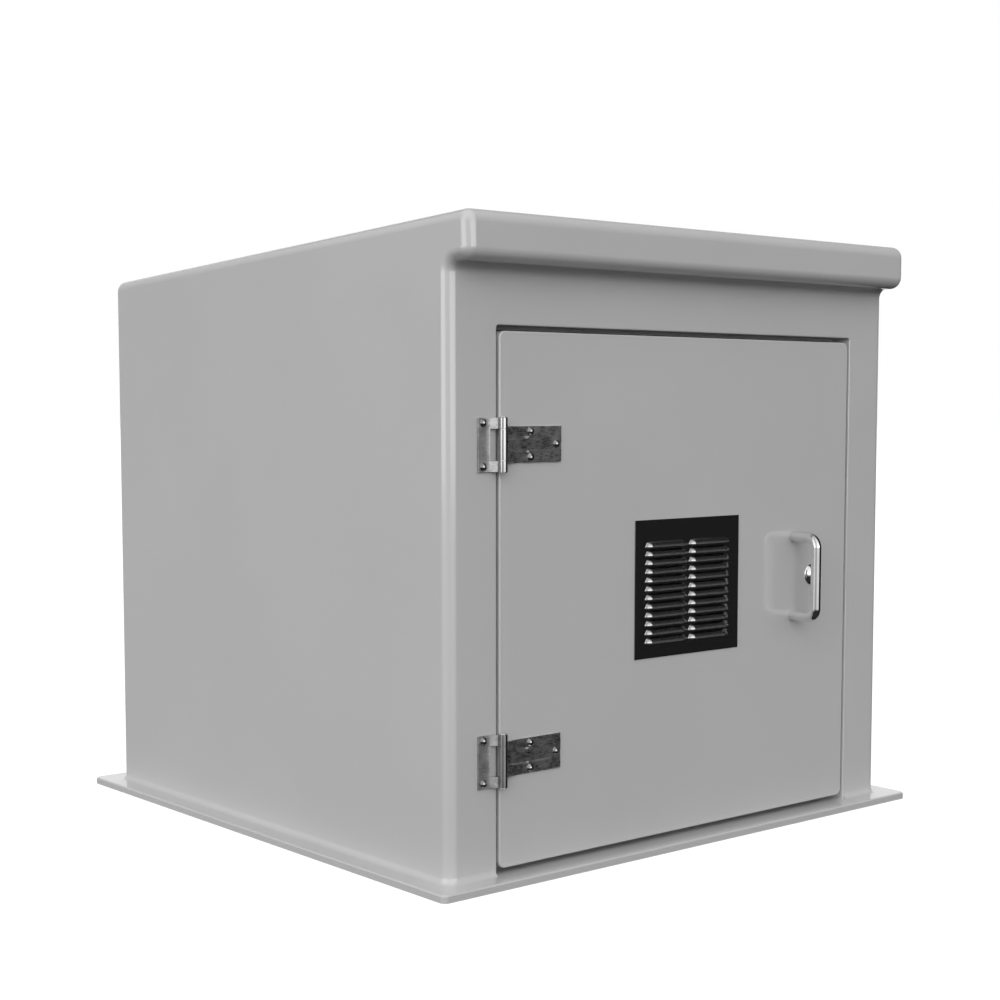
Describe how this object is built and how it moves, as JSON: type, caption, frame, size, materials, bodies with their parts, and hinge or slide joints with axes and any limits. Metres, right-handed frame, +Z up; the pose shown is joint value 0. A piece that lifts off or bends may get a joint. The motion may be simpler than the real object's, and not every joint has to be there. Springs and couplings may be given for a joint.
{
  "type": "roadside utility cabinet",
  "caption": "Moulded kiosk on a bolt-down flange, with a sloping roof, a front brow and a flush hinged door that has a louvred vent, a pull handle and a quarter-turn lock.",
  "frame": {"origin": "on the ground under the flange, at the centre of the box that holds the whole cabinet", "axes": "+Z up, -Y out of the door's face, +X to the right as seen from in front of the door"},
  "size_m": [1.1, 1.123, 1.019],
  "materials": {
    "gelcoat": "semi-gloss light grey gelcoat on glass-fibre laminate",
    "stainless": "brushed stainless sheet and plain fasteners",
    "bright_metal": "polished",
    "black_paint": "satin black",
    "seal_rubber": "matt",
    "plywood": "bare plywood and softwood"
  },
  "bodies": {
    "cabinet": {"cabinet_body": "gelcoat", "door_seal": "seal_rubber", "upper_hinge_frame_leaf": "stainless", "lower_hinge_frame_leaf": "stainless", "upper_hinge_pin": "bright_metal", "lower_hinge_pin": "bright_metal", "frame_hinge_bolts": "bright_metal", "frame_hinge_washers": "stainless", "frame_hinge_nuts": "stainless", "lock_keep": "stainless", "keep_screws": "stainless", "backboard": "plywood", "backboard_battens": "plywood", "backboard_screws": "stainless"},
    "door": {"door_panel": "gelcoat", "upper_hinge_door_leaf": "stainless", "lower_hinge_door_leaf": "stainless", "door_hinge_bolts": "bright_metal", "door_hinge_washers": "stainless", "door_hinge_nuts": "stainless", "louvre_plate": "black_paint", "vent_studs": "stainless", "insect_screen": "stainless", "screen_frame": "black_paint", "vent_nuts": "stainless", "pull_handle": "bright_metal", "handle_bolts": "stainless", "handle_washers": "stainless", "lock_housing": "bright_metal", "lock_nut": "stainless"},
    "lock": {"lock_barrel": "bright_metal", "lock_cam": "stainless", "cam_screw": "stainless"}
  },
  "joints": [
    {"name": "door_hinge", "type": "hinge", "parent": "cabinet", "child": "door", "pos_m": [-0.4125, -0.5105, 0.4335], "axis": [0, 0, -1], "range_deg": [0, 170]},
    {"name": "lock_turn", "type": "hinge", "parent": "door", "child": "lock", "pos_m": [0.318, -0.4985, 0.4335], "axis": [0, -1, 0], "range_deg": [0, 90]}
  ]
}
